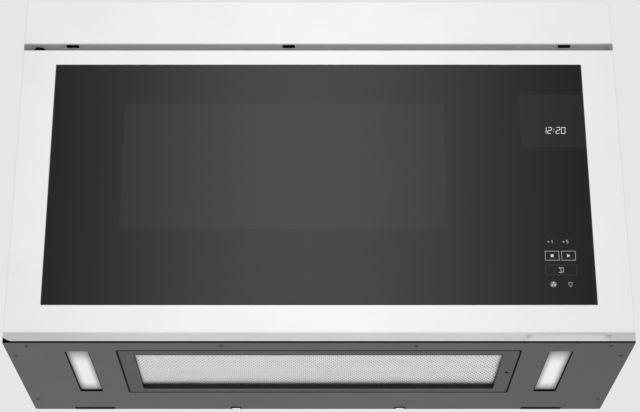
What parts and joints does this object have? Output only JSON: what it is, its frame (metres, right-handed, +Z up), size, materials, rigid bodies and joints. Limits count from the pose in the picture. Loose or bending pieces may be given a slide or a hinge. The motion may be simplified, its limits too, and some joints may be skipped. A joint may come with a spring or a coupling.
{
  "type": "over the range microwave",
  "caption": "Wall-hung over-the-range microwave with a full-width flush side-hinged door, touch controls in the glass, grease filter and cooktop lamps underneath.",
  "frame": {"origin": "on the wall plane at the middle of the cabinet's bottom edge", "axes": "+X to the right as seen from the front, +Y into the wall, +Z up"},
  "size_m": [0.759, 0.312, 0.4511],
  "materials": {
    "white_enamel": "smooth white moulded finish",
    "grey_paint": "satin grey coated steel",
    "cavity_enamel": "light grey enamel",
    "galvanised": "galvanised sheet steel",
    "bright_steel": "plain steel",
    "cast_light": "aluminium",
    "dark_glass": "tinted glass printed dark at the back",
    "clear_glass": "clear glass",
    "frosted_lens": "frosted lens",
    "ceramic": "smooth cream ceramic",
    "black_plastic": "matt black plastic",
    "grey_plastic": "matt grey plastic",
    "white_plastic": "matt white plastic",
    "green_board": "circuit board",
    "laminated_core": "varnished steel sheets",
    "copper_winding": "lacquered copper wire",
    "charcoal": "charcoal pad",
    "black_window": "dark coated steel"
  },
  "bodies": {
    "cabinet": {"base_plate": "grey_paint", "outer_wrap": "grey_paint", "back_panel": "galvanised", "rear_duct_cover": "galvanised", "front_plate": "grey_paint", "oven_cavity": "cavity_enamel", "floor_glass": "ceramic", "stirrer_well": "galvanised", "waveguide": "galvanised", "stirrer_motor": "bright_steel", "magnetron_yoke": "bright_steel", "magnetron_tube": "cast_light", "component_shelf": "galvanised", "transformer_core": "laminated_core", "transformer_coils": "copper_winding", "capacitor": "cast_light", "fan_shroud": "grey_plastic", "fan_motor": "laminated_core", "power_board": "green_board", "blower_scroll_left": "galvanised", "blower_scroll_right": "galvanised", "blower_motor": "bright_steel", "damper_frame": "galvanised", "charcoal_filter": "charcoal", "cord_bushing": "black_plastic", "cavity_lamp": "white_plastic", "lower_hinge": "bright_steel", "upper_hinge": "bright_steel", "interlock_housing": "white_plastic", "interlock_switches": "black_plastic", "release_solenoid": "laminated_core", "top_trim": "white_enamel", "lamp_lens_left": "frosted_lens", "lamp_lens_right": "frosted_lens", "lamp_housings": "white_plastic", "lamp_boards": "green_board", "screws": "bright_steel"},
    "door": {"door_frame": "white_enamel", "hinge_bushing": "black_plastic", "door_glass": "dark_glass", "touch_sensor": "black_plastic", "display_module": "black_plastic", "door_back": "black_window", "choke_frame": "black_window", "door_screen": "black_window", "inner_window": "clear_glass"},
    "latch": {"latch_bar": "grey_plastic"},
    "lever": {"release_lever": "white_plastic"},
    "pusher": {"door_pusher": "white_plastic"},
    "switch_primary": {"plunger_primary": "white_plastic"},
    "switch_secondary": {"plunger_secondary": "white_plastic"},
    "switch_monitor": {"plunger_monitor": "white_plastic"},
    "mode_stirrer": {"stirrer": "cast_light"},
    "blower_rotor": {"blower_shaft": "bright_steel", "blower_wheel_left": "galvanised", "blower_wheel_right": "galvanised"},
    "cooling_fan": {"fan_blade": "grey_plastic"},
    "damper": {"damper_flap": "galvanised"},
    "grease_filter": {"filter_frame": "grey_paint", "filter_mesh": "cast_light"}
  },
  "joints": [
    {"name": "door_hinge", "type": "hinge", "parent": "cabinet", "child": "door", "pos_m": [-0.355, -0.298, 0.19], "axis": [0, 0, -1], "range_deg": [0, 100]},
    {"name": "latch_slide", "type": "slide", "parent": "door", "child": "latch", "axis": [0, 0, 1], "range_m": [0, 0.004], "stiffness_N_per_m": 400, "springref_m": -0.005},
    {"name": "release_lever_pivot", "type": "hinge", "parent": "cabinet", "child": "lever", "pos_m": [0.2805, -0.262, 0.245], "axis": [1, 0, 0], "range_deg": [0, 12], "stiffness_Nm_per_rad": 0.03, "springref_deg": -11.46},
    {"name": "door_pusher_slide", "type": "slide", "parent": "cabinet", "child": "pusher", "axis": [0, -1, 0], "range_m": [0, 0.0045], "stiffness_N_per_m": 200, "springref_m": -0.003},
    {"name": "primary_switch_press", "type": "slide", "parent": "cabinet", "child": "switch_primary", "axis": [0, 1, 0], "range_m": [0, 0.0012], "stiffness_N_per_m": 400, "springref_m": -0.001},
    {"name": "secondary_switch_press", "type": "slide", "parent": "cabinet", "child": "switch_secondary", "axis": [0, 1, 0], "range_m": [0, 0.0012], "stiffness_N_per_m": 400, "springref_m": -0.001},
    {"name": "monitor_switch_press", "type": "slide", "parent": "cabinet", "child": "switch_monitor", "axis": [0, 0, -1], "range_m": [0, 0.0012], "stiffness_N_per_m": 400, "springref_m": -0.001},
    {"name": "stirrer_spin", "type": "hinge", "parent": "cabinet", "child": "mode_stirrer", "pos_m": [-0.043, -0.1478, 0.081], "axis": [0, 0, 1], "continuous": true},
    {"name": "blower_spin", "type": "hinge", "parent": "cabinet", "child": "blower_rotor", "pos_m": [0, -0.062, 0.388], "axis": [1, 0, 0], "continuous": true},
    {"name": "cooling_fan_spin", "type": "hinge", "parent": "cabinet", "child": "cooling_fan", "pos_m": [0.276, -0.0858, 0.118], "axis": [0, 1, 0], "continuous": true},
    {"name": "damper_hinge", "type": "hinge", "parent": "cabinet", "child": "damper", "pos_m": [0, -0.024, 0.44], "axis": [-1, 0, 0], "range_deg": [0, 75]},
    {"name": "grease_filter_drop", "type": "slide", "parent": "cabinet", "child": "grease_filter", "axis": [0, 0, -1], "range_m": [0, 0.06]}
  ]
}
